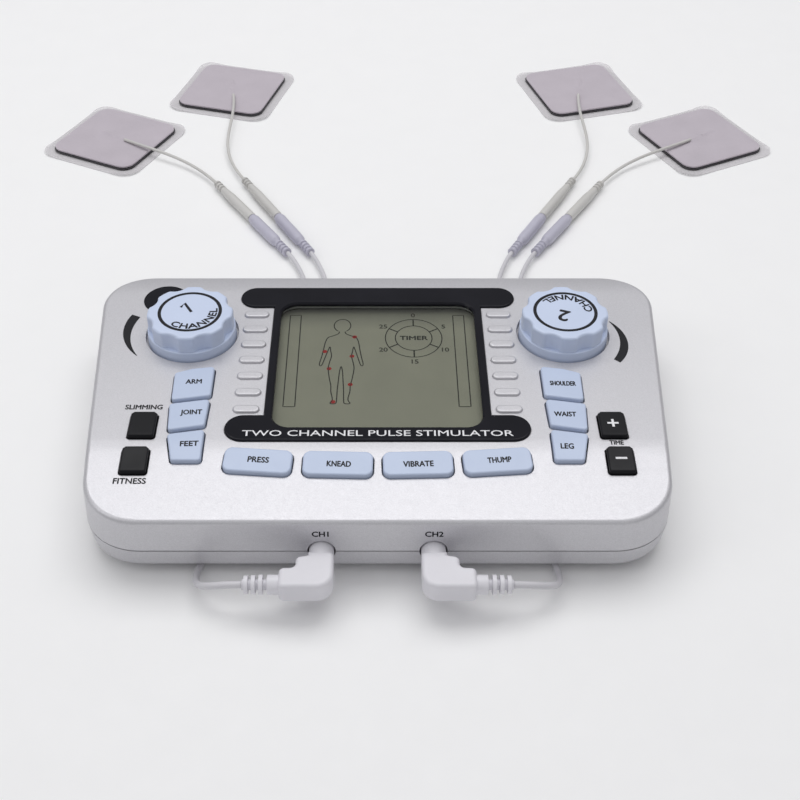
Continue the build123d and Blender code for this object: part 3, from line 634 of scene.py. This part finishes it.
def print_display():
    """Two level bars, the figure with its red spots, and the timer."""
    art, numbers, points = Drawing(), Drawing(), Drawing()
    for x_range in LEVEL_BARS_X:
        art.frame_lines(x_range, LEVEL_BARS_Y, SEGMENT_WIDTH)
    draw_figure(art, points)
    draw_timer(art, numbers)
    art.lay_on("display_lines", "lcd_panel", "case", "lcd_segment")
    numbers.lay_on("display_numbers", "lcd_panel", "case", "lcd_faint")
    points.lay_on("display_points", "lcd_panel", "case", "lcd_red")


# ================================================================== soft pads
PAD_TURN = {"1a": -26.0, "1b": -16.0, "2a": 26.0, "2b": 16.0}       # degrees
PAD_HALF, GEL_HALF, LINER_HALF = 20.0 * MM, 20.3 * MM, 24.0 * MM
PAD_CORNER, LINER_CORNER = 5.0 * MM, 7.0 * MM


def edge_distance(half, corner, angle):
    """From the middle of a rounded square to its edge, in the given direction."""
    across, up = abs(math.cos(angle)), abs(math.sin(angle))
    reach = half / max(across, up)
    core = half - corner
    if min(across, up) * reach > core:
        along = core * (across + up)
        reach = along + math.sqrt(along * along - 2 * core * core + corner * corner)
    return reach


def soft_sheet(name, node, slot, half, corner, relief, rings=26, spokes=112, roll=0.25):
    """Closed, gently uneven rounded square in place of a flat one; relief(x, y) lifts both its sides.

    x and y are in the sheet's own turned frame, and roll is the share of the thickness that the
    rim drops."""
    low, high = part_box(node)
    middle = middle_of(node)
    spin = Matrix.Rotation(math.radians(PAD_TURN[node[-2:]]), 2)
    points, faces = [], []
    for level in (high.z, low.z):
        for ring in range(1, rings + 1):
            share = (ring / rings) ** 0.8
            for spoke in range(spokes):
                angle = 2 * math.pi * spoke / spokes
                reach = share * edge_distance(half, corner, angle)
                x, y = reach * math.cos(angle), reach * math.sin(angle)
                drop = (high.z - low.z) * roll if (level == high.z and ring == rings) else 0.0
                spot = spin @ Vector((x, y))
                points.append((middle.x + spot.x, middle.y + spot.y, level - drop + relief(x, y)))
    side = rings * spokes
    for start in (0, side):
        for ring in range(rings - 1):
            for spoke in range(spokes):
                following = (spoke + 1) % spokes
                inner, outer = start + ring * spokes, start + (ring + 1) * spokes
                face = (inner + spoke, outer + spoke, outer + following, inner + following)
                faces.append(face if start == 0 else face[::-1])
        cap = tuple(range(start, start + spokes))
        faces.append(cap if start == 0 else cap[::-1])
    rim = side - spokes
    for spoke in range(spokes):
        following = (spoke + 1) % spokes
        faces.append((rim + spoke, side + rim + spoke, side + rim + following, rim + following))
    piece = new_piece(name, points, faces, "pad_" + node[-2:], slot)
    smooth(piece, 50.0)
    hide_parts(node)
    return piece


def soft_pad(pad):
    """Fabric with a ridge over the wire end, the gel under it and a release film that curls a little."""
    middle = middle_of("pad_fabric_" + pad)
    wire = min((v.co for v in NODES["pad_lead_" + pad].data.vertices),
               key=lambda co: (co.x - middle.x) ** 2 + (co.y - middle.y) ** 2)
    unturn = Matrix.Rotation(math.radians(-PAD_TURN[pad]), 2)
    along = (unturn @ Vector((wire.x - middle.x, wire.y - middle.y))).normalized()
    seed = 7.0 * PADS.index(pad)

    def swell(x, y):
        """Shallow waves of the laid cloth, in metres."""
        return 0.07 * MM * (1 + noise.noise(Vector((x * 70, y * 70, seed))))

    def cloth(x, y):
        run = x * along.x + y * along.y
        aside = y * along.x - x * along.y
        ends = 1 / (1 + math.exp((abs(run + 2 * MM) - 6 * MM) / (0.8 * MM)))
        ridge = 0.5 * MM * ends * math.exp(-(aside / (1.1 * MM)) ** 2)
        return swell(x, y) + ridge + 0.05 * MM

    def film(x, y):
        beyond = max(0.0, math.hypot(x, y) - 25 * MM) / MM
        curl = 0.5 + 0.5 * noise.noise(Vector((x * 40, y * 40, seed + 3)))
        return 0.045 * MM * curl * beyond ** 2

    soft_sheet("cloth_" + pad, "pad_fabric_" + pad, "pad_fabric", PAD_HALF, PAD_CORNER, cloth)
    soft_sheet("gel_" + pad, "pad_gel_" + pad, "pad_gel", GEL_HALF, PAD_CORNER, swell)
    soft_sheet("film_" + pad, "pad_liner_" + pad, "pad_liner", LINER_HALF, LINER_CORNER, film, roll=0.0)


# ================================================================== light, floor, camera
FLOOR_GAP = 0.05 * MM               # keeps the floor clear of the feet


def area_light(name, place, aim, size, power, color=(1, 1, 1)):
    light = bpy.data.lights.new(name, "AREA")
    light.shape = "RECTANGLE"
    light.size, light.size_y = size
    light.energy = power
    light.color = color
    lamp = bpy.data.objects.new(name, light)
    bpy.context.scene.collection.objects.link(lamp)
    lamp.location = place
    lamp.rotation_euler = (Vector(aim) - Vector(place)).to_track_quat("-Z", "Y").to_euler()
    return lamp


def make_floor():
    look = moulded("floor_paper", (0.93, 0.93, 0.93), 0.7, variation=0.005, grain=800.0, relief=0.01 * MM)
    mesh = bpy.data.meshes.new("floor")
    reach = 6.0                         # metres
    corners = [(-reach, -reach, 0), (reach, -reach, 0), (reach, reach, 0), (-reach, reach, 0)]
    mesh.from_pydata(corners, [], [(0, 1, 2, 3)])
    floor = bpy.data.objects.new("floor", mesh)
    bpy.context.scene.collection.objects.link(floor)
    floor.location.z = -FLOOR_GAP
    floor.data.materials.append(look.material)


def make_light():
    """Pale studio: brighter overhead than near the horizon, and soft boxes above, left and in front."""
    world = bpy.data.worlds.new("studio")
    world.use_nodes = True
    nodes, links = world.node_tree.nodes, world.node_tree.links
    place = nodes.new("ShaderNodeTexCoord")
    split = nodes.new("ShaderNodeSeparateXYZ")
    ramp = nodes.new("ShaderNodeValToRGB")
    links.new(place.outputs["Generated"], split.inputs["Vector"])
    links.new(split.outputs["Z"], ramp.inputs["Fac"])
    ramp.color_ramp.elements[0].position = 0.25
    ramp.color_ramp.elements[0].color = (0.42, 0.42, 0.44, 1)
    ramp.color_ramp.elements[1].position = 0.9
    ramp.color_ramp.elements[1].color = (1.0, 1.0, 1.02, 1)
    background = nodes["Background"]
    links.new(ramp.outputs["Color"], background.inputs["Color"])
    background.inputs["Strength"].default_value = 0.62
    bpy.context.scene.world = world
    area_light("overhead", (0.0, 0.45, 1.1), (0, 0.0, 0), (1.3, 0.7), 6.5)
    area_light("left", (-1.0, -0.2, 0.8), (0, 0.05, 0), (0.6, 0.8), 1.6)
    area_light("front", (0.3, -1.2, 0.7), (0, 0.0, 0), (1.2, 0.6), 0.8)


def make_camera():
    """Looks along +Y and down, as the reference view does."""
    focal, pitch, height, back = 56.7, 41.63, 260.25 * MM, 298.8 * MM
    data = bpy.data.cameras.new("camera")
    data.sensor_width = 36.0
    data.lens = focal
    data.shift_x = 0.028
    data.clip_start = 0.01
    camera = bpy.data.objects.new("camera", data)
    bpy.context.scene.collection.objects.link(camera)
    camera.location = (0, -back, TOP_Z + height)
    camera.rotation_euler = (math.radians(90 - pitch), 0, 0)
    bpy.context.scene.camera = camera


bpy.context.scene.view_settings.view_transform = "Standard"
dress_frame()
print_keys()
print_case()
print_bezel()
print_knobs()
print_display()
for pad in PADS:
    soft_pad(pad)
make_floor()
make_light()
make_camera()
